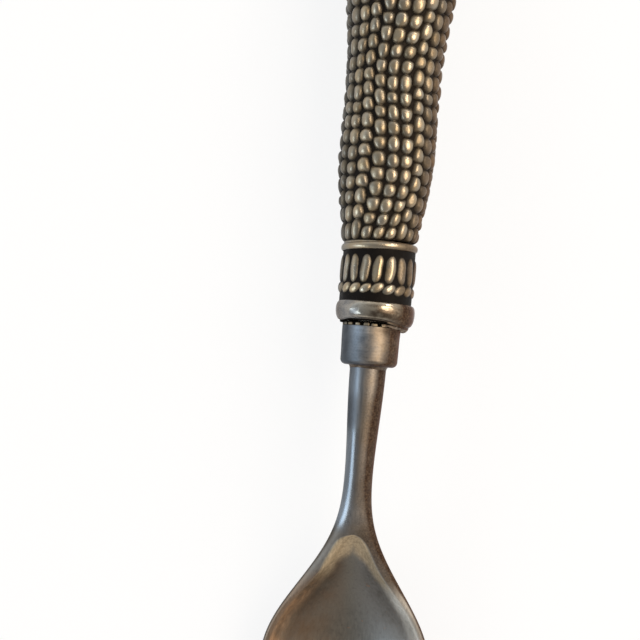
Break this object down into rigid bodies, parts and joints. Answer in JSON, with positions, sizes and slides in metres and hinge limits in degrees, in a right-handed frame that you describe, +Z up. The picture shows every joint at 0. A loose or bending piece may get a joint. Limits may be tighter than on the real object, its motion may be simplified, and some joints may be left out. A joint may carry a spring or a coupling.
{
  "type": "spoon",
  "caption": "Table spoon with an oval bowl on a round shank, a plain ferrule and a cast handle in the form of an ear of corn.",
  "frame": {"origin": "on the table, under the middle of the spoon's box", "axes": "+X across the bowl, +Y along the handle from the bowl to the butt, +Z up, out of the hollow of the bowl"},
  "size_m": [0.0318, 0.1828, 0.023],
  "materials": {
    "steel": "polished, softly worn, with fine scratches",
    "solder": "dull tin solder, darkened",
    "pewter": "antiqued pewter, bright on the crests and black in the grooves",
    "cement": "coarse filler cement, hidden"
  },
  "bodies": {
    "root": {"bowl_and_shank": "steel", "ferrule": "steel", "ferrule_solder": "solder", "toothed_ring": "pewter", "collar": "pewter", "seam_ring": "pewter", "cob": "pewter", "end_button": "pewter", "cement_core": "cement"}
  },
  "joints": []
}
